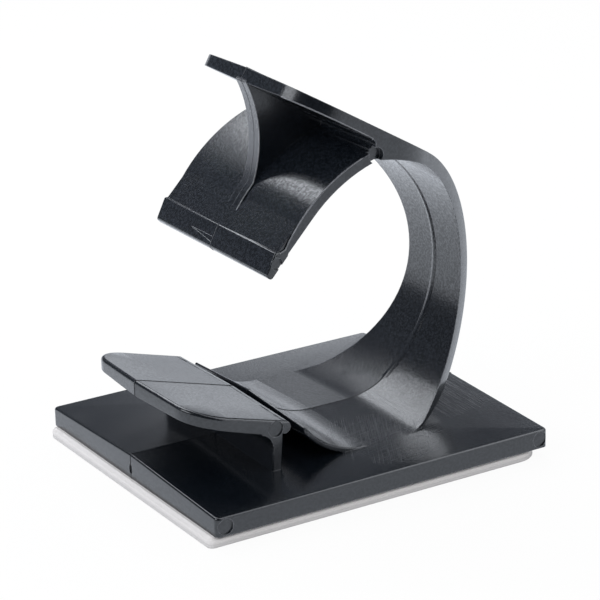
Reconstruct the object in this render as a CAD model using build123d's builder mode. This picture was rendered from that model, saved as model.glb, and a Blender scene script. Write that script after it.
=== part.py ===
import math
import os

from build123d import *

# Adhesive cable clip, shown open. Millimetres.
# X runs along the side profile from the release tab to the back of the arm, Y across the width,
# Z up from the underside of the pad. The body is moulded in two halves that meet at Y = 0, so every
# section has a little draft from there out to both sides.

# Foam pad
pad_thickness = 0.8
pad_overhang = 0.52
pad_end_inset = 0.32
pad_side_inset = 0.15
pad_corner_radius = 0.8

# Base plate
base_length = 29.0
base_width = 25.4
base_thickness = 1.93
base_side_drop = 0.48
base_corner_radius = 0.4
base_edge_round = 0.18

# Arm: a round loop, tapered in plan from the full width to a narrow waist
body_width = 16.2
body_draft = 1.0
loop_radius = 11.3
loop_centre_x = 1.56
loop_floor_depth = 1.04
arm_thickness = 1.23
floor_blend_radius = 6.5
waist_width = 7.1
waist_angle = 31.8
waist_blend = 6.0
foot_gap_start = -44.0
foot_gap_length = 4.95
foot_gap_height = 1.5
foot_gap_sag = 0.3

# Thumb plate, tangent to the back of the arm
plate_angle = 30.4
plate_length = 13.3
plate_thickness = 1.1
plate_corner_radius = 4.0

# Jaw: a curved plate that closes the loop and thins towards the hook
jaw_radius = 12.89
jaw_thickness = 1.05
jaw_end_thickness = 0.6
jaw_start_angle = 86.0
jaw_lean = 105.5
jaw_end_angle = 151.05
pocket_end = 1.04

# Hook at the end of the jaw
hook_height = 1.75
hook_toe_width = 0.6
hook_toe_round = 0.22
hook_lean = 26.0
hook_ledge = 0.62

# Web between thumb plate and jaw
web_thickness = 1.5
web_edge_radius = 9.7
web_edge_angle = 145.6
web_edge_sink = 0.39
web_rib_height = 0.08

# Lip in front of the loop
lip_start_x = 1.2
lip_reach = 5.5
lip_radius = 6.4
lip_thickness = 0.9
lip_draft = 1.7

# Latch post with release tab and nose
post_x = -5.95
post_thickness = 1.08
post_lean = 5.0
head_z = 5.47
head_depth = 1.25
tab_reach = 8.25
tab_angle = 15.8
tab_tip_height = 1.3
tab_sweep = 3.8
tab_corner_radius = 2.9
tab_root_fillet = 1.1
nose_reach = 0.65
nose_radius = 0.63

# Small rounds on the free edges
edge_round = 0.12
tab_edge_round = 0.25

# Ejector pin marks on the near side
pin_radius = 0.6
pin_depth = 0.12
pin_edge = 0.15
hook_pin_radius = 0.45
hook_pin_depth = 0.2
junction_pin_depth = 0.45

# Gate mark on the end of the base
gate_width = 0.42
gate_height = 0.8
gate_depth = 0.12

half_width = body_width / 2
half_length = base_length / 2
loop_centre = (loop_centre_x, base_thickness + loop_radius - loop_floor_depth)
outer_radius = loop_radius + arm_thickness
beyond = base_length + loop_radius
side = Plane(origin=(0, 0, pad_thickness), x_dir=(1, 0, 0), z_dir=(0, -1, 0))


def polar(centre, radius, degrees):
    a = math.radians(degrees)
    return (centre[0] + radius * math.cos(a), centre[1] + radius * math.sin(a))


def upper_z(centre, radius, x):
    return centre[1] + math.sqrt(radius ** 2 - (x - centre[0]) ** 2)


def slab(points, draft=body_draft, mode=Mode.ADD):
    """One half of a straight-sided piece of the profile, from the parting line to the near side."""
    with BuildSketch(side) as section:
        with BuildLine():
            Polyline(*points, close=True)
        make_face()
    extrude(section.sketch, amount=half_width, taper=draft, mode=mode)


def disc(centre, radius, draft=body_draft, mode=Mode.ADD):
    """One half of a round piece of the profile."""
    with BuildSketch(side) as section:
        with Locations(centre):
            Circle(radius)
    extrude(section.sketch, amount=half_width, taper=draft, mode=mode)


def edges_at(solid, *points):
    """The edge nearest to each point (x, depth from the parting line, height above the base underside)."""
    return [solid.edges().sort_by_distance((x, -y, z + pad_thickness))[0] for x, y, z in points]


def between(a, b, y):
    return ((a[0] + b[0]) / 2, y, (a[1] + b[1]) / 2)


def box_points(x0, z0, x1, z1):
    return [(x0, z0), (x1, z0), (x1, z1), (x0, z1)]


# Key points of the profile at the parting line: (x, height above the underside of the base plate)
across = 90 - plate_angle
plate_root = polar(loop_centre, outer_radius, across)
plate_tip = polar(plate_root, plate_length, 180 - plate_angle)
plate_low_tip = polar(plate_tip, plate_thickness, across + 180)
plate_low_root = polar(plate_root, plate_thickness, across + 180)
jaw_inner_radius = jaw_radius - jaw_thickness
jaw_start = polar(loop_centre, loop_radius, jaw_start_angle)
jaw_centre = polar(jaw_start, -jaw_inner_radius, jaw_lean)
hook_root = polar(jaw_centre, jaw_radius, jaw_end_angle)
hook_back = polar(jaw_centre, jaw_radius - jaw_end_thickness, jaw_end_angle + 1)
jaw_thin = polar(jaw_centre, jaw_inner_radius,
                 jaw_end_angle + 1 - math.degrees(math.acos(jaw_inner_radius / (jaw_radius - jaw_end_thickness))))
hook_top = (hook_root[0] - hook_ledge, hook_root[1])
hook_low = polar(hook_top, hook_height, 270 - hook_lean)
hook_toe = polar(hook_low, hook_toe_width, -48)
pocket_x = jaw_start[0] - pocket_end / 2
pocket_top = plate_low_root[1] + math.tan(math.radians(plate_angle)) * (plate_low_root[0] - pocket_x)
pocket_floor = upper_z(jaw_centre, jaw_radius, pocket_x)

# Loop of the arm
with BuildPart() as loop:
    disc(loop_centre, outer_radius)
    slab(box_points(jaw_start[0] - pocket_end / 4, 0.4, beyond, beyond), 0, Mode.INTERSECT)

# Jaw plate
with BuildPart() as jaw:
    disc(jaw_centre, jaw_radius)
    slab(box_points(-beyond, hook_back[1], jaw_start[0] + 0.5, beyond), 0, Mode.INTERSECT)
    with BuildSketch(side) as jaw_inside:
        with Locations(jaw_centre):
            Circle(jaw_inner_radius)
        with BuildLine():
            Polyline(jaw_thin, hook_back, (hook_back[0] + 3, hook_back[1] - 3), jaw_centre, close=True)
        make_face()
    extrude(jaw_inside.sketch, amount=half_width, taper=-body_draft, mode=Mode.SUBTRACT)

# Thumb plate, the thick root where it meets the jaw, and the hook
with BuildPart() as arm:
    add(loop.part)
    slab([plate_tip, plate_low_tip, plate_low_root, plate_root])
    slab([(pocket_x, pocket_floor - 0.5), (plate_root[0], plate_root[1] - 2.5),
          plate_root, (pocket_x, pocket_top + 0.5)])
    disc(loop_centre, loop_radius, -body_draft, Mode.SUBTRACT)
    add(jaw.part)
    with BuildSketch(side) as hook:
        with BuildLine():
            Polyline(hook_top, hook_low, hook_toe, hook_back, (hook_root[0] + 0.5, hook_root[1] + 0.2), hook_root,
                     close=True)
        make_face()
        fillet(hook.vertices().sort_by_distance((hook_low[0], 0, hook_low[1] + pad_thickness))[:2], hook_toe_round)
    extrude(hook.sketch, amount=half_width)
    disc((pocket_x, (pocket_top + pocket_floor) / 2), (pocket_top - pocket_floor) / 2 - 0.02, 0,
         Mode.SUBTRACT)

# Blend from the floor up into the loop
roof_slope = math.degrees(math.atan2(base_side_drop, base_width / 2))
blend_drop = loop_centre[1] - base_thickness - floor_blend_radius
blend_centre = (loop_centre_x + math.sqrt((loop_radius - floor_blend_radius) ** 2 - blend_drop ** 2),
                base_thickness + floor_blend_radius)
blend_end = polar(loop_centre, loop_radius, -math.degrees(math.acos(
    (blend_centre[0] - loop_centre_x) / (loop_radius - floor_blend_radius))))
with BuildPart() as floor_blend:
    slab([(blend_centre[0], base_thickness), blend_end, (blend_end[0], base_thickness - 0.8),
          (blend_centre[0], base_thickness - 0.8)], 0)
    disc(blend_centre, floor_blend_radius, -roof_slope, Mode.SUBTRACT)

# Plan taper of the arm: both sides run in from the full width to the waist
waist_x = loop_centre_x + loop_radius
taper_x = waist_x - (half_width - waist_width / 2) / math.tan(math.radians(waist_angle))
blend = waist_blend * math.tan(math.radians(waist_angle / 2))
taper_start = (taper_x - blend, -half_width)
taper_middle = polar((taper_start[0], waist_blend - half_width), waist_blend, waist_angle / 2 - 90)
taper_end = polar((taper_x, -half_width), blend, waist_angle)
taper_far = polar((taper_x, -half_width), 20, waist_angle)
foot_start = polar(loop_centre, outer_radius, foot_gap_start)
foot_end = (foot_start[0] - foot_gap_length, foot_gap_height)
foot_middle = ((foot_start[0] + foot_end[0] + foot_gap_sag) / 2,
               (foot_start[1] + foot_end[1]) / 2 - foot_gap_sag)
lean = math.radians(plate_angle)
thumb = Plane(origin=(plate_tip[0], 0, plate_tip[1] + pad_thickness),
              x_dir=(-math.cos(lean), 0, math.sin(lean)), z_dir=(math.sin(lean), 0, math.cos(lean)))

with BuildPart() as tapered_arm:
    add(arm.part)
    add(floor_blend.part)
    with BuildSketch(Plane.XY) as plan:
        with BuildLine():
            ThreePointArc(taper_start, taper_middle, taper_end)
            Polyline(taper_end, taper_far, (taper_far[0], -half_width - 3), (taper_start[0], -half_width - 3),
                     taper_start)
        make_face()
    extrude(plan.sketch, amount=50, mode=Mode.SUBTRACT)
    with BuildSketch(side) as foot:
        with BuildLine():
            ThreePointArc(foot_start, foot_middle, foot_end)
            Polyline(foot_end, (foot_end[0], -2), (beyond, -2), (beyond, foot_start[1]), foot_start)
        make_face()
    extrude(foot.sketch, amount=half_width, mode=Mode.SUBTRACT)
    with BuildSketch(thumb) as corner:
        with Locations((-plate_corner_radius, half_width - plate_corner_radius)):
            Rectangle(plate_corner_radius + 1, plate_corner_radius + 1, align=(Align.MIN, Align.MIN))
            Circle(plate_corner_radius, mode=Mode.SUBTRACT)
    extrude(corner.sketch, amount=3, both=True, mode=Mode.SUBTRACT)
    loop_back = polar(loop_centre, outer_radius, 0)
    fillet(edges_at(tapered_arm, between(loop_back, loop_back, waist_width / 2),
                    between(hook_top, hook_top, half_width / 2),
                    between(hook_top, hook_low, half_width),
                    between(hook_top, hook_root, half_width),
                    between(hook_toe, hook_back, half_width)), edge_round)

# Web on the parting line between thumb plate and jaw, ending in a low rib down to the hook
web_edge = polar(jaw_centre, jaw_radius + web_edge_radius - web_edge_sink, web_edge_angle)
rib_start = polar(jaw_centre, jaw_radius, 125)
with BuildPart() as web:
    with BuildSketch(side) as web_side:
        with BuildLine():
            Polyline(polar(plate_low_tip, 0.3, across - 40),
                     (pocket_x + 1, pocket_top), (pocket_x + 1, pocket_floor - 0.6),
                     polar(jaw_centre, jaw_radius - 0.4, 118), polar(jaw_centre, jaw_radius - 0.4, 138),
                     (web_edge[0], web_edge[1] - 4), (web_edge[0], web_edge[1] + 4), close=True)
        make_face()
        with Locations(web_edge):
            Circle(web_edge_radius, mode=Mode.SUBTRACT)
    extrude(web_side.sketch, amount=web_thickness / 2)
    with BuildSketch(side) as rib_side:
        with Locations(jaw_centre):
            Circle(jaw_radius + web_rib_height)
            Circle(jaw_radius - 0.4, mode=Mode.SUBTRACT)
        with BuildLine():
            Polyline(*box_points(-beyond, hook_root[1] + 0.05, *rib_start), close=True)
        make_face(mode=Mode.INTERSECT)
    extrude(rib_side.sketch, amount=web_thickness / 2)

# Lip: a thin finger that curls up in front of the loop floor
lip_centre = (lip_start_x, base_thickness + lip_radius)
with BuildPart() as lip:
    disc(lip_centre, lip_radius + lip_thickness, lip_draft)
    slab(box_points(lip_start_x - lip_reach, 0.8, lip_start_x, lip_centre[1]), 0, Mode.INTERSECT)
    disc(lip_centre, lip_radius, -lip_draft, Mode.SUBTRACT)
    lip_tip = lip_start_x - lip_reach
    fillet([e for e in lip.edges() if e.center().Y < -0.01 and
            (abs(e.center().Y + half_width) < 0.01 or e.center().X < lip_tip + 0.01)
            and e.center().X < lip_start_x - 0.01], edge_round)

# Latch: post, release tab and nose
tab_tip = polar((post_x, head_z), tab_reach, 180 - tab_angle)
tab_low = (tab_tip[0], tab_tip[1] - tab_tip_height)
post_back = post_x - post_thickness
tab_under = (post_back, head_z - head_depth)
post_foot = (0.5 - tab_under[1]) * math.tan(math.radians(post_lean))
fill_a = math.degrees(math.atan2(tab_low[1] - tab_under[1], tab_low[0] - tab_under[0]))
fill_b = 270 - post_lean
fill_reach = tab_root_fillet / math.tan(math.radians((fill_b - fill_a) / 2))
fill_centre = polar(tab_under, tab_root_fillet / math.sin(math.radians((fill_b - fill_a) / 2)), (fill_a + fill_b) / 2)
tab_tip_plan = (tab_tip[0], 0)
tab_side_plan = (tab_tip[0] + half_width * math.tan(math.radians(tab_sweep)), -half_width)
with BuildPart() as latch:
    slab([(post_x, head_z), tab_tip, tab_low, tab_under, (post_x, tab_under[1] - 0.1)])
    slab([(post_x, head_z - 0.6), (post_back, head_z - 0.6), tab_under, (post_back + post_foot, 0.5),
          (post_x + post_foot, 0.5), (post_x, tab_under[1])])
    slab([polar(tab_under, fill_reach, fill_a), polar(tab_under, fill_reach, fill_b),
          (post_x - 0.3, tab_under[1] - 0.3), (post_x - 0.3, head_z - 0.5),
          (tab_under[0] - fill_reach, tab_under[1] + 0.8)], 0)
    disc(fill_centre, tab_root_fillet, -body_draft, Mode.SUBTRACT)
    disc((post_x + nose_reach - nose_radius, head_z - nose_radius), nose_radius)
    with BuildSketch(Plane.XY) as tab_front:
        with Locations((tab_tip[0], 0)):
            Rectangle(tab_reach, body_width, align=(Align.CENTER, Align.MAX))
        with BuildSketch(Plane.XY, mode=Mode.SUBTRACT):
            with BuildLine():
                Polyline(tab_tip_plan, tab_side_plan, (0, -half_width), (0, 0), close=True)
            make_face()
            fillet(vertices().sort_by_distance(tab_side_plan)[0], tab_corner_radius)
    extrude(tab_front.sketch, amount=beyond, mode=Mode.SUBTRACT)
    tab_middle = (tab_tip[0] + post_x) / 2
    fillet(edges_at(latch, (tab_middle, half_width, (tab_tip[1] + head_z) / 2)), tab_edge_round)
    fillet(edges_at(latch, between(tab_low, tab_under, half_width),
                    between((post_x, head_z - head_depth), (post_x + post_foot, 0.5), half_width),
                    between(tab_under, (post_back + post_foot, 0.5), half_width)), edge_round)

# Base plate: its top falls from the parting line to both sides
with BuildPart() as base:
    with BuildSketch(Plane.YZ.offset(-half_length)) as base_end:
        with BuildLine():
            Polyline((0, pad_thickness), (-base_width / 2, pad_thickness),
                     (-base_width / 2, pad_thickness + base_thickness - base_side_drop),
                     (0, pad_thickness + base_thickness), close=True)
        make_face()
    extrude(base_end.sketch, amount=base_length)
    near_edges = base.edges().filter_by(Axis.Z).group_by(Axis.Y)[0]
    fillet(near_edges, base_corner_radius)
    top = base.faces().sort_by(Axis.Z)[-1]
    fillet([e for e in top.edges() if abs(e.center().Y) > 0.01], base_edge_round)

# Ejector pin marks: x, height, radius, depth and the face they sit on
base_pin_x = half_length - pin_radius - pin_edge
base_pin_z = (base_thickness - base_side_drop) / 2
pin_marks = [(jaw_start[0] - 0.09, jaw_start[1] + 0.54, pin_radius, junction_pin_depth, half_width),
             (hook_top[0] + 0.14, hook_top[1] - 0.87, hook_pin_radius, hook_pin_depth, half_width),
             (post_x - pin_radius - pin_edge, head_z - pin_radius, pin_radius, pin_depth, half_width),
             (-base_pin_x, base_pin_z, pin_radius, pin_depth, base_width / 2),
             (base_pin_x, base_pin_z, pin_radius, pin_depth, base_width / 2)]

with BuildPart() as clip_body:
    add(base.part)
    add(tapered_arm.part)
    add(web.part)
    add(lip.part)
    add(latch.part)
    mirror(about=Plane.XZ)
    for x, z, radius, depth, y in pin_marks:
        with BuildSketch(side.offset(y - depth)) as mark:
            with Locations((x, z)):
                Circle(radius)
        extrude(mark.sketch, amount=1, mode=Mode.SUBTRACT)
    with BuildSketch(Plane.YZ.offset(-half_length)) as gate_mark:
        with Locations((0, pad_thickness + gate_height / 2 + 0.35)):
            Ellipse(gate_width / 2, gate_height / 2)
    extrude(gate_mark.sketch, amount=gate_depth, mode=Mode.SUBTRACT)
clip_body.part.label = "clip_body"

with BuildPart() as adhesive_pad:
    with Locations((-half_length - pad_overhang, 0, 0)):
        Box(base_length + pad_overhang - pad_end_inset, base_width - 2 * pad_side_inset, pad_thickness,
            align=(Align.MIN, Align.CENTER, Align.MIN))
    fillet(adhesive_pad.edges().filter_by(Axis.Z), pad_corner_radius)
adhesive_pad.part.label = "adhesive_pad"

os.makedirs("parts", exist_ok=True)
export_step(clip_body.part, "parts/clip_body.step")
export_step(adhesive_pad.part, "parts/adhesive_pad.step")
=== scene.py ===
"""Adhesive cable clip: a satin black nylon moulding on a white foam pad, dressed around its CAD frame."""

import logging
import math
from collections.abc import Callable, Sequence
from dataclasses import dataclass
from enum import Enum

import bmesh
import bpy
from mathutils import Matrix, Vector


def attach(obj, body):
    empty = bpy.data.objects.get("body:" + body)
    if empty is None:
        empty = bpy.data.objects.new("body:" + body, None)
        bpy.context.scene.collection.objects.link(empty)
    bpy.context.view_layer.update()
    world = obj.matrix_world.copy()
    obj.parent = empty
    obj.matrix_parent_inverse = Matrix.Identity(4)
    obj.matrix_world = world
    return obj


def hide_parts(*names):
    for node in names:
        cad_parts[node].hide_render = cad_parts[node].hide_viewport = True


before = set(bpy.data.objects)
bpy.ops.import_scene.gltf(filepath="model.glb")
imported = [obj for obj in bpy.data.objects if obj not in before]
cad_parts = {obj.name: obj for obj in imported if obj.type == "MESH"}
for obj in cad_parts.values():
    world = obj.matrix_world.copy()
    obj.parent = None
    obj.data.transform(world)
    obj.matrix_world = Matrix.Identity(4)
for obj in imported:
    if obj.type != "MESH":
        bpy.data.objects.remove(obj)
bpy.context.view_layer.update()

LOG = logging.getLogger("cable_clip")

Colour = tuple[float, float, float, float]
Point = tuple[float, float, float]
Span = tuple[float, float]

MM = 0.001
PER_MM = 1000.0
WHITE: Colour = (1.0, 1.0, 1.0, 1.0)
BEVEL_SAMPLES = 8
CUT_TOLERANCE = 0.0005 * MM
COLLAPSE_TOLERANCE = 0.001 * MM
JOIN_TOLERANCE = 0.002 * MM
BEAD_TOLERANCE = 0.002 * MM
CREASE_TOLERANCE = 0.003 * MM
SHARP_EDGE = math.radians(25)
PARTING_KINK = math.radians(0.8)


def mm(*values: float) -> tuple[float, ...]:
    """Turn millimetres into metres."""
    return tuple(value * MM for value in values)


class Slot(Enum):
    """The record's material slots."""

    BODY = "black_nylon"
    PAD = "white_foam"


class ShaderGraph:
    """A short way to add and join nodes in a material's, a world's or a group's tree."""

    def __init__(self, tree: bpy.types.NodeTree) -> None:
        """Start on an empty tree."""
        self.tree = tree
        tree.nodes.clear()

    def add(self, kind: str, inputs: dict | None = None, **settings: object) -> bpy.types.Node:
        """Add one node.

        Args:
            kind: The node's type, without its ShaderNode prefix.
            inputs: Values or sockets for the node's inputs, by name or index.
            **settings: The node's own settings.

        Returns:
            The new node.
        """
        name = kind if kind.startswith("Node") else "ShaderNode" + kind
        node = self.tree.nodes.new(name)
        for key, value in settings.items():
            setattr(node, key, value)
        for key, value in (inputs or {}).items():
            self.feed(node.inputs[key], value)
        return node

    def feed(self, socket: bpy.types.NodeSocket, value: object) -> None:
        """Join a socket to another one, or set its value."""
        if isinstance(value, bpy.types.NodeSocket):
            self.tree.links.new(value, socket)
        else:
            socket.default_value = value

    def math(self, operation: str, *values: object) -> bpy.types.NodeSocket:
        """Add a Math node and return its result."""
        return self.add("Math", dict(enumerate(values)), operation=operation).outputs[0]

    def product(self, first: object, *others: object) -> object:
        """Multiply any number of values and return the result."""
        for other in others:
            first = self.math("MULTIPLY", first, other)
        return first

    def faded(self, value: object, mask: object, share: float) -> bpy.types.NodeSocket:
        """Scale a value down to a share of itself where a mask is zero, and return the result."""
        return self.math("MULTIPLY", value, self.math("MULTIPLY_ADD", mask, 1.0 - share, share))

    def measure(self, operation: str, *vectors: object) -> bpy.types.NodeSocket:
        """Add a Vector Math node whose result is one number, such as DISTANCE, and return it."""
        return self.add("VectorMath", dict(enumerate(vectors)), operation=operation).outputs["Value"]

    def axis(self, vector: object, letter: str) -> bpy.types.NodeSocket:
        """Return one component of a vector."""
        return self.add("SeparateXYZ", {0: vector}).outputs[letter]

    def ramp(self, value: object, low: float, high: float, to_low: float = 0.0,
             to_high: float = 1.0) -> bpy.types.NodeSocket:
        """Map a range smoothly onto another and return the result."""
        node = self.add("MapRange", {"Value": value, "From Min": low, "From Max": high,
                                     "To Min": to_low, "To Max": to_high}, interpolation_type="SMOOTHSTEP")
        return node.outputs["Result"]

    def noise(self, place: object, scale: object, detail: float = 1.0,
              roughness: float = 0.5) -> bpy.types.NodeSocket:
        """Add a Noise Texture and return its value."""
        return self.add("TexNoise", {"Vector": place, "Scale": scale, "Detail": detail,
                                     "Roughness": roughness}).outputs[0]

    def mix(self, factor: object, first: object, second: object) -> bpy.types.NodeSocket:
        """Mix two colours and return the result."""
        return self.add("Mix", {0: factor, 6: first, 7: second}, data_type="RGBA").outputs[2]

    def blend(self, factor: object, first: bpy.types.Node, second: bpy.types.Node) -> bpy.types.Node:
        """Mix two shaders and return the mixing node."""
        return self.add("MixShader", {0: factor, 1: first.outputs[0], 2: second.outputs[0]})


def new_material(name: str) -> tuple[bpy.types.Material, ShaderGraph]:
    """Start a material with an empty tree."""
    material = bpy.data.materials.new(name)
    material.use_nodes = True
    return material, ShaderGraph(material.node_tree)


def effect_group(name: str, inputs: dict[str, float], outputs: list[str]) -> tuple[
        bpy.types.NodeTree, ShaderGraph, bpy.types.Node, bpy.types.Node]:
    """Start a shared shader node group.

    Args:
        name: The group's name.
        inputs: Its float inputs with their defaults, after the vector Place.
        outputs: Its float outputs.

    Returns:
        The group, its graph, and its input and output nodes.
    """
    group = bpy.data.node_groups.new(name, "ShaderNodeTree")
    graph = ShaderGraph(group)
    group.interface.new_socket("Place", in_out="INPUT", socket_type="NodeSocketVector")
    for label, value in inputs.items():
        socket = group.interface.new_socket(label, in_out="INPUT", socket_type="NodeSocketFloat")
        socket.default_value = value
    for label in outputs:
        group.interface.new_socket(label, in_out="OUTPUT", socket_type="NodeSocketFloat")
    return group, graph, graph.add("NodeGroupInput"), graph.add("NodeGroupOutput")


@dataclass(frozen=True)
class MouldedSkin:
    """Fine grain and slow unevenness of a moulded or cast skin, as a height in millimetres and a speckle."""

    grain_per_mm: float = 5.6
    grain_depth: float = 0.016
    grain_detail: float = 1.5
    grain_roughness: float = 0.6
    wave_scale: float = 260.0
    wave_depth: float = 0.004
    speckle: Span = (0.4, 0.62)

    def build(self) -> bpy.types.NodeTree:
        """Build the shared group, with the outputs Height and Speckle."""
        inputs = {"Grain per mm": self.grain_per_mm, "Grain depth": self.grain_depth, "Wave depth": self.wave_depth}
        group, g, source, sink = effect_group("moulded_skin", inputs, ["Height", "Speckle"])
        place = source.outputs["Place"]
        scale = g.math("MULTIPLY", source.outputs["Grain per mm"], PER_MM)
        fine = g.noise(place, scale, self.grain_detail, self.grain_roughness)
        grain = g.math("MULTIPLY", fine, source.outputs["Grain depth"])
        wave = g.math("MULTIPLY", g.noise(place, self.wave_scale), source.outputs["Wave depth"])
        g.feed(sink.inputs["Height"], g.math("ADD", grain, wave))
        g.feed(sink.inputs["Speckle"], g.ramp(fine, *self.speckle))
        return group


@dataclass(frozen=True)
class Scratches:
    """Fine parallel scratches that fade in and out, as one mask."""

    length_per_mm: float = 0.2
    lines_per_mm: float = 25.0
    amount: float = 0.62
    softness: float = 0.07

    def build(self) -> bpy.types.NodeTree:
        """Build the shared group, with the output Mask."""
        inputs = {"Turn": 0.0, "Length per mm": self.length_per_mm, "Lines per mm": self.lines_per_mm,
                  "Amount": self.amount}
        group, g, source, sink = effect_group("scuffs", inputs, ["Mask"])
        turned = g.add("VectorRotate", {"Vector": source.outputs["Place"], "Angle": source.outputs["Turn"]},
                       rotation_type="Z_AXIS")
        along = g.math("MULTIPLY", source.outputs["Length per mm"], PER_MM)
        across = g.math("MULTIPLY", source.outputs["Lines per mm"], PER_MM)
        stretch = g.add("CombineXYZ", {"X": along, "Y": across, "Z": along})
        thin = g.add("VectorMath", {0: turned.outputs[0], 1: stretch.outputs[0]}, operation="MULTIPLY")
        above = g.math("SUBTRACT", g.noise(thin.outputs[0], 1.0), source.outputs["Amount"])
        g.feed(sink.inputs["Mask"], g.ramp(above, 0.0, self.softness))
        return group


@dataclass(frozen=True)
class Scuff:
    """One scuffed place on the nylon, round and fading from its core outwards."""

    centre: Point
    reach: float
    turn: float
    amount: float
    core: float = 0.3

    def mask(self, g: ShaderGraph, place: object, scratches: bpy.types.NodeTree) -> bpy.types.NodeSocket:
        """Add the scuff's mask.

        Args:
            g: The material's graph.
            place: The object coordinates.
            scratches: The shared scratches group.

        Returns:
            The mask's socket.
        """
        lines = g.add("Group", {"Place": place, "Turn": self.turn, "Amount": self.amount}, node_tree=scratches)
        away = g.measure("DISTANCE", place, self.centre)
        return g.math("MULTIPLY", lines.outputs["Mask"], g.ramp(away, self.reach, self.reach * self.core))


@dataclass(frozen=True)
class WebEdgeHighlight:
    """A painted highlight on the narrow front edge of the web and on its low rib on the jaw, on faces turned to the
    front.
    """

    centre: Point = mm(-12.805, 0.0, 25.395)
    radius: float = 9.7 * MM
    near: Span = mm(0.2, 0.08)
    jaw_centre: Point = mm(5.512, 0.0, 12.853)
    rib_inner: Span = mm(12.87, 12.94)
    rib_outer: Span = mm(13.37, 13.17)
    rib_highlight_strength: float = 0.5
    half_width: Span = mm(0.78, 0.675)
    rise: Span = mm(20.0, 24.5)
    facing: Span = (-0.1, -0.3)
    highlight_strength: float = 0.62

    def mask(self, g: ShaderGraph, place: object) -> bpy.types.NodeSocket:
        """Add the painted highlight's mask.

        Args:
            g: The material's graph.
            place: The object coordinates.

        Returns:
            The mask's socket.
        """
        flat = g.add("VectorMath", {0: place, 1: (1.0, 0.0, 1.0)}, operation="MULTIPLY").outputs[0]
        off_web = g.math("ABSOLUTE", g.math("SUBTRACT", g.measure("DISTANCE", flat, self.centre), self.radius))
        from_jaw = g.measure("DISTANCE", flat, self.jaw_centre)
        on_rib = g.product(g.ramp(from_jaw, *self.rib_inner),
                           g.ramp(from_jaw, *self.rib_outer, 0.0, self.rib_highlight_strength))
        strip = g.math("MAXIMUM", g.ramp(off_web, *self.near), on_rib)
        middle = g.ramp(g.math("ABSOLUTE", g.axis(place, "Y")), *self.half_width)
        # Painted highlight: only where the surface faces the front, fading in with height.
        front = g.ramp(g.axis(g.add("NewGeometry").outputs["Normal"], "X"), *self.facing)
        return g.product(strip, middle, front, g.ramp(g.axis(place, "Z"), *self.rise, 0.0, self.highlight_strength))


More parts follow.
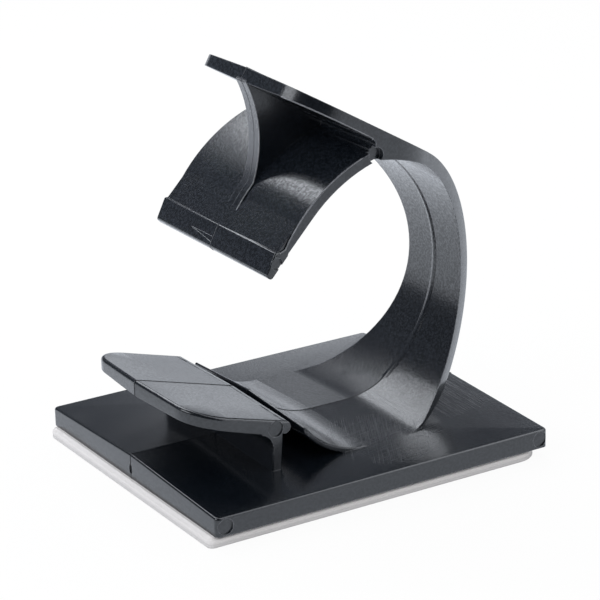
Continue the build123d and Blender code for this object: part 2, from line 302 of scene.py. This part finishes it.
@dataclass(frozen=True)
class NylonFinish:
    """Satin black nylon as it comes out of the mould, with a few handling scuffs, a pale line painted along its sharp
    edges as their highlight and partly as wear, and a painted highlight on the web's front edge.
    """

    name: str = "black_nylon"
    colour: Colour = (0.0016, 0.003, 0.005, 1.0)
    speckle_colour: Colour = (0.0115, 0.015, 0.021, 1.0)
    scuff_colour: Colour = (0.032, 0.036, 0.044, 1.0)
    # Pale colour for the painted edge highlights (partly wear) and for the painted highlight on the web's front edge.
    wear_and_highlight_colour: Colour = (0.11, 0.115, 0.13, 1.0)
    ior: float = 1.6
    roughness: float = 0.205
    roughness_patches: float = 0.06
    patch_scale: float = 180.0
    patch_detail: float = 3.0
    patch_span: Span = (0.35, 0.75)
    scuff_roughness: float = 0.15
    scuff_depth: float = 0.005
    scuff_ceiling: Span = mm(3.3, 2.904)
    coat: float = 0.3
    coat_on_speckle: float = 0.6
    coat_roughness: float = 0.12
    edge_radius: float = 0.08 * MM
    smooth_height: float = 0.5
    smooth_speckle: float = 0.35
    flank_facing: Span = (0.5, 0.2)
    grain_lean: float = 0.6
    grain_rise: Span = mm(8.5, 12.5)
    edge_highlight_reach: float = 0.15 * MM
    edge_highlight_turn: Span = (0.98, 0.88)
    edge_highlight_pointiness: Span = (0.5, 0.53)
    edge_highlight_breaks: Span = (0.3, 0.62)
    edge_highlight_break_scale: float = 5200.0
    edge_highlight_break_detail: float = 2.0
    edge_highlight_break_roughness: float = 0.7
    edge_highlight_amount: float = 1.0
    web_edge_highlight: WebEdgeHighlight = WebEdgeHighlight()
    scuffs: tuple[Scuff, ...] = (
        Scuff(mm(2.5, -7.5, 2.5), 5.5 * MM, math.radians(-62), 0.59),
        Scuff(mm(3.5, -8.0, 2.5), 5.0 * MM, math.radians(-8), 0.61),
        Scuff(mm(10.5, -2.0, 2.6), 6.5 * MM, math.radians(-90), 0.59),
    )

    def build(self, skin: bpy.types.NodeTree, scratches: bpy.types.NodeTree) -> bpy.types.Material:
        """Build the material.

        Args:
            skin: The shared moulded skin group.
            scratches: The shared scratches group.

        Returns:
            The finished material.
        """
        material, g = new_material(self.name)
        place = g.add("TexCoord").outputs["Object"]
        peel = g.add("Group", {"Place": place}, node_tree=skin)
        grained = self.grained(g, place)
        scuffed = self.scuffed(g, place, scratches)
        grain = g.faded(peel.outputs["Height"], grained, self.smooth_height)
        height = g.math("SUBTRACT", grain, g.math("MULTIPLY", scuffed, self.scuff_depth))
        bevel = g.add("Bevel", {"Radius": self.edge_radius}, samples=BEVEL_SAMPLES)
        bump = g.add("Bump", {"Strength": 1.0, "Distance": MM, "Height": height, "Normal": bevel.outputs[0]})
        patchy = g.ramp(g.noise(place, self.patch_scale, self.patch_detail), *self.patch_span)
        rough = g.math("MULTIPLY_ADD", patchy, self.roughness_patches, self.roughness)
        rough = g.math("MULTIPLY_ADD", scuffed, self.scuff_roughness, rough)
        speckle = g.faded(peel.outputs["Speckle"], grained, self.smooth_speckle)
        colour = g.mix(scuffed, g.mix(speckle, self.colour, self.speckle_colour), self.scuff_colour)
        # Where the base colour turns pale: painted highlights along the sharp edges (partly wear) and on the web's
        # front edge.
        pale = g.math("MAXIMUM", self.painted_edge_highlights(g, place), self.web_edge_highlight.mask(g, place))
        surface = g.add("BsdfPrincipled", {
            "Base Color": g.mix(pale, colour, self.wear_and_highlight_colour), "Roughness": rough, "Normal": bump.outputs[0],
            "IOR": self.ior, "Coat Weight": g.math("MULTIPLY_ADD", speckle, self.coat_on_speckle, self.coat),
            "Coat Roughness": self.coat_roughness})
        g.add("OutputMaterial", {"Surface": surface.outputs[0]})
        return material

    def scuffed(self, g: ShaderGraph, place: object, scratches: bpy.types.NodeTree) -> bpy.types.NodeSocket:
        """All scuffs together, on the base only.

        Args:
            g: The material's graph.
            place: The object coordinates.
            scratches: The shared scratches group.

        Returns:
            The mask's socket.
        """
        mask = 0.0
        for scuff in self.scuffs:
            mask = g.math("MAXIMUM", mask, scuff.mask(g, place, scratches))
        return g.math("MULTIPLY", mask, g.ramp(g.axis(place, "Z"), *self.scuff_ceiling))

    def grained(self, g: ShaderGraph, place: object) -> bpy.types.NodeSocket:
        """Where the mould's wall left grain: high or far along the arm, and away from the flat sides.

        Args:
            g: The material's graph.
            place: The object coordinates.

        Returns:
            The mask's socket.
        """
        facing = g.math("ABSOLUTE", g.axis(g.add("NewGeometry").outputs["Normal"], "Y"))
        ahead = g.math("MAXIMUM", g.axis(place, "X"), 0.0)
        rise = g.math("MULTIPLY_ADD", ahead, self.grain_lean, g.axis(place, "Z"))
        return g.product(g.ramp(facing, *self.flank_facing), g.ramp(rise, *self.grain_rise))

    def painted_edge_highlights(self, g: ShaderGraph, place: object) -> bpy.types.NodeSocket:
        """A broken pale line along the sharp outer edges: a painted highlight where their rounding catches the light,
        partly wear.

        Args:
            g: The material's graph.
            place: The object coordinates.

        Returns:
            The mask's socket.
        """
        wide = g.add("Bevel", {"Radius": self.edge_highlight_reach}, samples=BEVEL_SAMPLES)
        shape = g.add("NewGeometry")
        turn = g.measure("DOT_PRODUCT", wide.outputs[0], shape.outputs["Normal"])
        breaks = g.noise(place, self.edge_highlight_break_scale, self.edge_highlight_break_detail, self.edge_highlight_break_roughness)
        return g.product(g.ramp(turn, *self.edge_highlight_turn), g.ramp(shape.outputs["Pointiness"], *self.edge_highlight_pointiness),
                         g.ramp(breaks, *self.edge_highlight_breaks, 0.0, self.edge_highlight_amount))


@dataclass(frozen=True)
class FoamFinish:
    """White closed-cell foam of the adhesive pad, with a painted shade along its lower edge."""

    name: str = "white_foam"
    colour: Colour = (0.685, 0.67, 0.672, 1.0)
    lower_edge_shade_colour: Colour = (0.6, 0.59, 0.596, 1.0)
    lower_edge_shade_top: Span = mm(0.34, 0.28)
    roughness: float = 0.75
    cell_scale: float = 6500.0
    cell_depth: float = 0.02

    def build(self, skin: bpy.types.NodeTree) -> bpy.types.Material:
        """Build the material.

        Args:
            skin: The shared moulded skin group.

        Returns:
            The finished material.
        """
        material, g = new_material(self.name)
        place = g.add("TexCoord").outputs["Object"]
        peel = g.add("Group", {"Place": place}, node_tree=skin)
        cells = g.add("TexVoronoi", {"Vector": place, "Scale": self.cell_scale})
        height = g.math("MULTIPLY_ADD", cells.outputs["Distance"], self.cell_depth, peel.outputs["Height"])
        bump = g.add("Bump", {"Strength": 1.0, "Distance": MM, "Height": height})
        # Painted shade along the pad's lower edge.
        lower_shade = g.ramp(g.axis(place, "Z"), *self.lower_edge_shade_top)
        surface = g.add("BsdfPrincipled", {"Base Color": g.mix(lower_shade, self.colour, self.lower_edge_shade_colour),
                                           "Roughness": self.roughness, "Normal": bump.outputs[0]})
        g.add("OutputMaterial", {"Surface": surface.outputs[0]})
        return material


NYLON = NylonFinish()
NYLON_LINES = NylonFinish(name="black_nylon_lines", edge_highlight_amount=0.0)
NYLON_TORN = NylonFinish(name="black_nylon_torn", colour=(0.04, 0.043, 0.051, 1.0),
                         speckle_colour=(0.1, 0.106, 0.117, 1.0), edge_highlight_amount=0.0)
# Pale colour of the edge flash bead: a painted highlight along the near side's sharp edges of jaw, hook and thumb
# plate.
NYLON_EDGE_HIGHLIGHT = NylonFinish(name="black_nylon_edge_highlight", colour=(0.12, 0.125, 0.138, 1.0),
                          speckle_colour=(0.26, 0.27, 0.29, 1.0), edge_highlight_amount=0.0)
FOAM = FoamFinish()


def placed(shape: bmesh.types.BMesh, name: str, material: bpy.types.Material | None = None) -> bpy.types.Object:
    """Turn a finished bmesh into an object at the origin.

    Args:
        shape: The bmesh, which is freed.
        name: The object's name.
        material: Its material, if it has one already.

    Returns:
        The new object.
    """
    mesh = bpy.data.meshes.new(name)
    shape.to_mesh(mesh)
    shape.free()
    if material:
        mesh.materials.append(material)
    piece = bpy.data.objects.new(name, mesh)
    bpy.context.scene.collection.objects.link(piece)
    return piece


def lofted(shape: bmesh.types.BMesh, rings: Sequence[Sequence[bmesh.types.BMVert]]) -> None:
    """Skin closed rings of points one after the other and close both ends.

    Args:
        shape: The bmesh that holds the points.
        rings: The rings, all with the same number of points.
    """
    for first, second in zip(rings, rings[1:]):
        for k in range(len(first)):
            after = (k + 1) % len(first)
            shape.faces.new((first[k], first[after], second[after], second[k]))
    shape.faces.new(rings[0][::-1])
    shape.faces.new(rings[-1])


def on_parting(edge: bmesh.types.BMEdge, tolerance: float) -> bool:
    """Whether an edge is on the parting line, the plane Y = 0."""
    return all(abs(v.co.y) < tolerance for v in edge.verts)


def merged_copy(node: bpy.types.Object, name: str) -> bpy.types.Object:
    """Copy a CAD node's mesh, join its loose triangles and mark its sharp edges.

    Args:
        node: The CAD node.
        name: The copy's name.

    Returns:
        The new object, at the origin.
    """
    shape = bmesh.new()
    shape.from_mesh(node.data)
    bmesh.ops.remove_doubles(shape, verts=shape.verts, dist=JOIN_TOLERANCE)
    bmesh.ops.dissolve_degenerate(shape, edges=shape.edges, dist=COLLAPSE_TOLERANCE)
    shape.normal_update()
    for edge in shape.edges:
        turn = edge.calc_face_angle(0.0)
        edge.smooth = turn < SHARP_EDGE and not (on_parting(edge, CREASE_TOLERANCE) and turn > PARTING_KINK)
    for face in shape.faces:
        face.smooth = True
    return placed(shape, name)


def dressed(piece: bpy.types.Object, node: str) -> bpy.types.Object:
    """Hang a finished piece under the root and hide its CAD node."""
    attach(piece, "root")
    if node:
        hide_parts(node)
    return piece


def bead_tree(finish: bpy.types.Material, radius: float, sides: int = 6) -> bpy.types.NodeTree:
    """Build a Geometry Nodes tree that turns a wire into a round bead.

    Args:
        finish: The bead's material.
        radius: The bead's radius.
        sides: How many sides its section has.

    Returns:
        The tree.
    """
    tree = bpy.data.node_groups.new("bead", "GeometryNodeTree")
    tree.interface.new_socket("Geometry", in_out="INPUT", socket_type="NodeSocketGeometry")
    tree.interface.new_socket("Geometry", in_out="OUTPUT", socket_type="NodeSocketGeometry")
    source, curve, bead, real, painted, sink, circle = (tree.nodes.new(kind) for kind in (
        "NodeGroupInput", "GeometryNodeMeshToCurve", "GeometryNodeCurveToMesh", "GeometryNodeRealizeInstances",
        "GeometryNodeSetMaterial", "NodeGroupOutput", "GeometryNodeCurvePrimitiveCircle"))
    circle.inputs["Resolution"].default_value = sides
    circle.inputs["Radius"].default_value = radius
    bead.inputs["Fill Caps"].default_value = True
    painted.inputs["Material"].default_value = finish
    chain = (source, curve, bead, real, painted, sink)
    for first, second in zip(chain, chain[1:]):
        tree.links.new(first.outputs[0], second.inputs[0])
    tree.links.new(circle.outputs[0], bead.inputs["Profile Curve"])
    return tree


def grown(source: bpy.types.Object, tree: bpy.types.NodeTree, finish: bpy.types.Material) -> bpy.types.Object:
    """Apply a Geometry Nodes tree for good.

    Args:
        source: The object that the tree starts from.
        tree: The tree.
        finish: The material of what comes out.

    Returns:
        The same object with the made mesh and no modifier.
    """
    source.modifiers.new("grow", "NODES").node_group = tree
    graph = bpy.context.evaluated_depsgraph_get()
    mesh = bpy.data.meshes.new_from_object(source.evaluated_get(graph))
    source.modifiers.clear()
    source.data = mesh
    if not mesh.materials:
        mesh.materials.append(finish)
    for face in mesh.polygons:
        face.use_smooth = True
    return source


@dataclass(frozen=True)
class PartingRidge:
    """The soft rounded ridge along the parting line inside the loop."""

    centre: Span = mm(1.56, 12.99)
    radius: float = 11.3 * MM
    turn: Span = (-72.0, 80.0)
    half_width: float = 0.32 * MM
    height: float = 0.055 * MM
    sink: float = 0.05 * MM
    end_height: float = 0.02
    end_bluntness: float = 0.4
    steps: int = 96
    sides: int = 6

    def section(self, share: float) -> list[Span]:
        """The ridge's section as (y, radius) at a share of its way, with its back sunk in the band."""
        swell = max(self.end_height, math.sin(math.pi * share) ** self.end_bluntness)
        ring = []
        for k in range(-self.sides, self.sides + 1):
            rise = self.height * swell * math.cos(math.pi / 2 * k / self.sides) ** 2
            ring.append((self.half_width * k / self.sides, self.radius - rise))
        back = self.radius + self.sink
        return ring + [(self.half_width, back), (-self.half_width, back)]

    def build(self, finish: bpy.types.Material) -> bpy.types.Object:
        """Build the ridge as one closed piece."""
        shape = bmesh.new()
        rings = []
        for step in range(self.steps + 1):
            share = step / self.steps
            turn = math.radians(self.turn[0] + (self.turn[1] - self.turn[0]) * share)
            rings.append([shape.verts.new((self.centre[0] + r * math.cos(turn), y,
                                           self.centre[1] + r * math.sin(turn))) for y, r in self.section(share)])
        lofted(shape, rings)
        bmesh.ops.recalc_face_normals(shape, faces=shape.faces)
        for face in shape.faces:
            face.smooth = len(face.verts) == 4
        return placed(shape, "parting_ridge", finish)


@dataclass(frozen=True)
class HookLedgeSlope:
    """The slope that fills the corner between the hook's ledge and the jaw; profile (x, z) in millimetres."""

    profile: tuple[Span, ...] = ((-6.33, 19.0), (-6.33, 19.07), (-4.35, 21.12), (-4.2, 20.5), (-5.5, 19.0))
    half_width: float = 8.0
    end_sink: float = 0.1

    def build(self, finish: bpy.types.Material) -> bpy.types.Object:
        """Build the slope as one closed piece, with both ends sunk a little."""
        shape = bmesh.new()
        stations = ((-self.half_width, self.end_sink), (0.0, 0.0), (self.half_width, self.end_sink))
        lofted(shape, [[shape.verts.new(mm(x + sink, y, z - sink)) for x, z in self.profile] for y, sink in stations])
        bmesh.ops.recalc_face_normals(shape, faces=shape.faces)
        return placed(shape, "hook_ledge_slope", finish)


@dataclass(frozen=True)
class Flash:
    """The hair-fine flash that the mould left on its parting line and on the near side's edges."""

    line_radius: float = 0.042 * MM
    torn_radius: float = 0.03 * MM
    edge_radius: float = 0.055 * MM
    torn_above: float = 16.0 * MM
    torn_before: float = 2.0 * MM
    sharp: float = math.radians(50)
    wall_facing: float = 0.3
    front_facing: float = 0.2
    side_marks: tuple[Span, ...] = (mm(-6.25, 18.22), mm(2.26, 24.8))
    mark_reach: float = 0.75 * MM
    scars: tuple[tuple[Point, ...], ...] = (
        (mm(-6.83, 3.17, 18.19), mm(-6.8, 1.6, 18.2), mm(-6.81, 0.1, 18.22)),
        (mm(-6.83, 3.17, 18.19), mm(-6.9, 1.5, 18.0), mm(-7.0, 0.0, 17.83)),
    )

    def bead(self, body: bpy.types.Object, name: str, keep: Callable[[bmesh.types.BMEdge], bool], radius: float,
             finish: bpy.types.Material, extra: Sequence[Sequence[Point]] = ()) -> bpy.types.Object:
        """Run a bead of flash along some of the body's edges.

        Args:
            body: The finished moulding.
            name: The bead's name.
            keep: Which edges it follows.
            radius: The bead's radius.
            finish: The bead's material.
            extra: More lines for it to follow.

        Returns:
            The bead, as a mesh of its own.
        """
        shape = bmesh.new()
        shape.from_mesh(body.data)
        bmesh.ops.bisect_plane(shape, geom=shape.verts[:] + shape.edges[:] + shape.faces[:],
                               dist=CUT_TOLERANCE, plane_co=(0, 0, 0), plane_no=(0, 1, 0))
        line = {e for e in shape.edges if keep(e)}
        bmesh.ops.delete(shape, geom=shape.faces[:], context="FACES_ONLY")
        bmesh.ops.delete(shape, geom=[e for e in shape.edges if e not in line], context="EDGES")
        bmesh.ops.delete(shape, geom=[v for v in shape.verts if not v.link_edges], context="VERTS")
        for path in extra:
            spots = [shape.verts.new(spot) for spot in path]
            for pair in zip(spots, spots[1:]):
                shape.edges.new(pair)
        return grown(placed(shape, name), bead_tree(finish, radius), finish)

    def torn(self, edge: bmesh.types.BMEdge) -> bool:
        """Whether this edge is on the jaw, the hook or the front of the thumb plate."""
        return all(v.co.z > self.torn_above and v.co.x < self.torn_before for v in edge.verts)

    def low_line(self, edge: bmesh.types.BMEdge) -> bool:
        """Whether this edge is on the parting line, on the base, arm or latch."""
        return on_parting(edge, BEAD_TOLERANCE) and not self.torn(edge)

    def high_line(self, edge: bmesh.types.BMEdge) -> bool:
        """Whether this edge is on the parting line, on the jaw, hook or front of the thumb plate."""
        return on_parting(edge, BEAD_TOLERANCE) and self.torn(edge)

    def by_mark(self, edge: bmesh.types.BMEdge) -> bool:
        """Whether this edge is by one of the ejector pin marks, which have clean rims."""
        return any(math.hypot(v.co.x - x, v.co.z - z) < self.mark_reach
                   for v in edge.verts for x, z in self.side_marks)

    def squeezed(self, edge: bmesh.types.BMEdge) -> bool:
        """Whether this is a sharp edge between the near side and a front or lower face of jaw, hook or plate."""
        if not self.torn(edge) or len(edge.link_faces) != 2 or self.by_mark(edge):
            return False
        wall, flank = sorted((face.normal for face in edge.link_faces), key=lambda normal: abs(normal.y))
        return (edge.calc_face_angle_signed() >= self.sharp and wall.x < self.front_facing
                and abs(wall.y) < self.wall_facing < -flank.y)


@dataclass
class ClipBody:
    """The one-piece clip moulding: base, lip, arm, thumb plate, jaw, hook, post and release tab."""

    finish: bpy.types.Material
    line_finish: bpy.types.Material
    torn_finish: bpy.types.Material
    edge_highlight_finish: bpy.types.Material
    name: str = "clip_moulding"
    flash: Flash = Flash()
    ridge: PartingRidge = PartingRidge()
    slope: HookLedgeSlope = HookLedgeSlope()

    def build(self) -> list[bpy.types.Object]:
        """Build the moulding from its CAD node, and the fine forms that the mould left on it."""
        flash = self.flash
        body = merged_copy(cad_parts["clip_body"], self.name)
        body.data.materials.append(self.finish)
        extras = [flash.bead(body, "parting_flash", flash.low_line, flash.line_radius, self.line_finish),
                  flash.bead(body, "torn_flash", flash.high_line, flash.torn_radius, self.torn_finish, flash.scars),
                  # The edge flash bead is geometry; its pale finish is a painted highlight.
                  flash.bead(body, "edge_flash", flash.squeezed, flash.edge_radius, self.edge_highlight_finish),
                  self.ridge.build(self.line_finish), self.slope.build(self.line_finish)]
        return [dressed(body, "clip_body")] + [dressed(extra, "") for extra in extras]


@dataclass
class AdhesivePad:
    """The die-cut foam pad under the base: its cut side bulges a little and its faces are flat."""

    finish: bpy.types.Material
    name: str = "foam_pad"
    thickness: float = 0.8
    corners: tuple[float, ...] = mm(1.2, 0.8, 0.5, 2.0)
    corner_steps: int = 10
    side: tuple[Span, ...] = ((0.05, 0.0), (0.01, 0.05), (0.0, 0.14), (0.03, 0.26), (0.0, 0.36),
                              (0.0, 0.48), (0.02, 0.58), (0.09, 0.63), (0.25, 0.66), (0.3, 0.8))

    def outline(self, low: Vector, high: Vector, inset: float) -> list[Span]:
        """The pad's rounded outline, drawn in by an inset.

        Args:
            low: The pad's lowest corner.
            high: The pad's highest corner.
            inset: How far the outline is drawn in.

        Returns:
            Its points, anticlockwise from the corner at +X +Y.
        """
        points = []
        places = ((high.x, high.y), (low.x, high.y), (low.x, low.y), (high.x, low.y))
        for quarter, (r, (x, y)) in enumerate(zip(self.corners, places)):
            cx = x - math.copysign(r, x)
            cy = y - math.copysign(r, y)
            for step in range(self.corner_steps + 1):
                a = math.radians(90 * (quarter + step / self.corner_steps))
                points.append((cx + (r - inset) * math.cos(a), cy + (r - inset) * math.sin(a)))
        return points

    def build(self) -> list[bpy.types.Object]:
        """Build the pad in the space of its CAD node."""
        corners = [v.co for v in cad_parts["adhesive_pad"].data.vertices]
        low = Vector([min(c[k] for c in corners) for k in range(3)])
        high = Vector([max(c[k] for c in corners) for k in range(3)])
        shape = bmesh.new()
        rings = []
        for inset, height in self.side:
            z = low.z + (high.z - low.z) * height / self.thickness
            rings.append([shape.verts.new((x, y, z)) for x, y in self.outline(low, high, inset * MM)])
        lofted(shape, rings)
        for face in shape.faces:
            face.smooth = len(face.verts) == 4
        pad = placed(shape, self.name, self.finish)
        dressed(pad, "adhesive_pad")
        return [pad]


@dataclass(frozen=True)
class Floor:
    """A large pale floor that shows white to the camera and keeps the object's shadow; in the gloss it glows, bluish
    white near the clip and darker further out, a painted pool of light.
    """

    half_size: float = 1.5
    height: float = -0.02 * MM
    matt_colour: Colour = (0.8, 0.8, 0.8, 1.0)
    mirrored_near: Colour = (0.885, 0.94, 1.03, 1.0)
    mirrored_far: Colour = (0.58, 0.61, 0.67, 1.0)
    mirrored_span: Span = (0.07, 0.25)
    glow: float = 0.94

    def build(self) -> None:
        """Lay the floor."""
        shape = bmesh.new()
        bmesh.ops.create_grid(shape, x_segments=1, y_segments=1, size=self.half_size)
        bmesh.ops.translate(shape, verts=shape.verts, vec=(0, 0, self.height))
        material, g = new_material("floor_white")
        path = g.add("LightPath")
        seen = g.math("MAXIMUM", path.outputs["Is Camera Ray"], path.outputs["Is Glossy Ray"])
        matt = g.add("BsdfDiffuse", {"Color": self.matt_colour})
        out = g.measure("LENGTH", g.add("TexCoord").outputs["Object"])
        # Painted pool of light: the floor as the gloss sees it glows brighter near the clip and darker further out.
        mirrored = g.mix(g.ramp(out, *self.mirrored_span), self.mirrored_near, self.mirrored_far)
        tint = g.mix(path.outputs["Is Camera Ray"], mirrored, WHITE)
        glow = g.add("Emission", {"Color": tint, "Strength": 1.0})
        both = g.blend(g.math("MULTIPLY", seen, self.glow), matt, glow)
        g.add("OutputMaterial", {"Surface": both.outputs[0]})
        floor = placed(shape, "floor", material)


@dataclass(frozen=True)
class Card:
    """A soft white card for the gloss to mirror, by its turn about Z from +Y (radians) and its height."""

    start: Span
    end: Span
    top: Span
    foot: Span = (-1.0, -1.0)
    foot_share: float = 1.0

    def mask(self, g: ShaderGraph, turn: object, height: object) -> bpy.types.NodeSocket:
        """Add the card's mask.

        Args:
            g: The world's graph.
            turn: The direction's turn about Z.
            height: The direction's Z.

        Returns:
            The mask's socket.
        """
        face = g.product(g.ramp(turn, *self.start), g.ramp(turn, *self.end), g.ramp(height, *self.top))
        if self.foot_share < 1.0:
            face = g.math("MULTIPLY", face, g.ramp(height, *self.foot, self.foot_share, 1.0))
        return face


@dataclass(frozen=True)
class Room:
    """Plain soft light from all round, in which the gloss sees two pale cards before a dark room."""

    light: float = 0.9
    card_colour: Colour = (1.04, 1.09, 1.18, 1.0)
    dark_near: Colour = (0.05, 0.053, 0.062, 1.0)
    dark_behind: Colour = (0.112, 0.123, 0.146, 1.0)
    behind: Span = (-0.3, 0.3)
    back_card: Card = Card(start=(0.44, 0.54), end=(1.6, 1.3), top=(0.43, 0.2), foot=(0.02, 0.12), foot_share=0.35)
    side_card: Card = Card(start=(1.75, 1.95), end=(2.85, 2.7), top=(0.95, 0.7))

    def build(self) -> None:
        """Fill the room."""
        world = bpy.data.worlds.new("studio")
        bpy.context.scene.world = world
        world.use_nodes = True
        g = ShaderGraph(world.node_tree)
        path = g.add("LightPath")
        way = g.add("SeparateXYZ", {0: g.add("TexCoord").outputs["Generated"]})
        turn = g.math("ARCTAN2", way.outputs["X"], way.outputs["Y"])
        card = g.math("MAXIMUM", self.back_card.mask(g, turn, way.outputs["Z"]),
                      self.side_card.mask(g, turn, way.outputs["Z"]))
        dark = g.mix(g.ramp(way.outputs["Y"], *self.behind), self.dark_near, self.dark_behind)
        matt = g.add("Background", {"Color": WHITE, "Strength": self.light})
        mirrored = g.add("Background", {"Color": g.mix(card, dark, self.card_colour), "Strength": 1.0})
        white = g.add("Background", {"Color": WHITE, "Strength": 1.0})
        inner = g.blend(path.outputs["Is Glossy Ray"], matt, mirrored)
        both = g.blend(path.outputs["Is Camera Ray"], inner, white)
        g.add("OutputWorld", {"Surface": both.outputs[0]})


@dataclass(frozen=True)
class SoftBox:
    """One rectangular soft box, aimed at the clip; its roll is in degrees about its aim."""

    name: str
    place: Point
    size: Span
    power: float
    roll: float = 0.0
    lights_matt: bool = True
    colour: Point = (0.95, 0.985, 1.04)
    target: Point = (0.0, 0.0, 0.012)

    def build(self) -> None:
        """Hang the soft box."""
        data = bpy.data.lights.new(self.name, "AREA")
        data.shape = "RECTANGLE"
        data.size, data.size_y = self.size
        data.energy = self.power
        data.color = self.colour
        lamp = bpy.data.objects.new(self.name, data)
        lamp.visible_diffuse = self.lights_matt
        lamp.location = self.place
        aim = (Vector(self.target) - Vector(self.place)).to_track_quat("-Z", "Y").to_matrix()
        lamp.rotation_euler = (aim @ Matrix.Rotation(math.radians(self.roll), 3, "Z")).to_euler()
        bpy.context.scene.collection.objects.link(lamp)


@dataclass(frozen=True)
class PhotoCamera:
    """The camera at the photograph's angle."""

    place: Point = mm(-94.26, -154.75, 77.41)
    target: Point = mm(0.538, 0.0, 11.741)
    roll: float = math.radians(1.248)
    focal_pixels: float = 2550.15
    photo_pixels: int = 600
    sensor: float = 36.0
    clip: Span = (0.01, 10.0)

    def build(self) -> None:
        """Place the camera."""
        data = bpy.data.cameras.new("camera")
        data.sensor_width = self.sensor
        data.lens = self.focal_pixels * self.sensor / self.photo_pixels
        data.clip_start, data.clip_end = self.clip
        camera = bpy.data.objects.new("camera", data)
        ahead = (Vector(self.target) - Vector(self.place)).normalized()
        level = ahead.cross(Vector((0, 0, 1))).normalized()
        upright = level.cross(ahead)
        c, s = math.cos(-self.roll), math.sin(-self.roll)
        turn = Matrix((level * c + upright * s, upright * c - level * s, -ahead)).transposed().to_4x4()
        camera.matrix_world = Matrix.Translation(self.place) @ turn
        bpy.context.scene.collection.objects.link(camera)
        bpy.context.scene.camera = camera


@dataclass(frozen=True)
class Studio:
    """Pale floor, soft light and the camera."""

    floor: Floor = Floor()
    room: Room = Room()
    boxes: tuple[SoftBox, ...] = (
        SoftBox("back_box", (0.01, 0.105, 0.1425), (0.124, 0.1), 0.125, roll=9.0),
        SoftBox("left_box", (-0.21, 0.02, 0.16), (0.12, 0.12), 0.14),
        SoftBox("top_box", (0.1, -0.015, 0.18), (0.2, 0.2), 0.22, lights_matt=False),
    )
    camera: PhotoCamera = PhotoCamera()

    def build(self) -> None:
        """Build floor, lights and camera."""
        for thing in (self.floor, self.room, *self.boxes, self.camera):
            thing.build()


def main() -> None:
    """Build every piece, then the studio around it."""
    logging.basicConfig(level=logging.INFO)
    bpy.context.scene.view_settings.view_transform = "Standard"
    skin = MouldedSkin().build()
    scratches = Scratches().build()
    nylons = [finish.build(skin, scratches) for finish in (NYLON, NYLON_LINES, NYLON_TORN, NYLON_EDGE_HIGHLIGHT)]
    for part in (ClipBody(*nylons), AdhesivePad(FOAM.build(skin))):
        for piece in part.build():
            LOG.info("%s: %d faces", piece.name, len(piece.data.polygons))
    Studio().build()


if __name__ == "__main__":
    main()
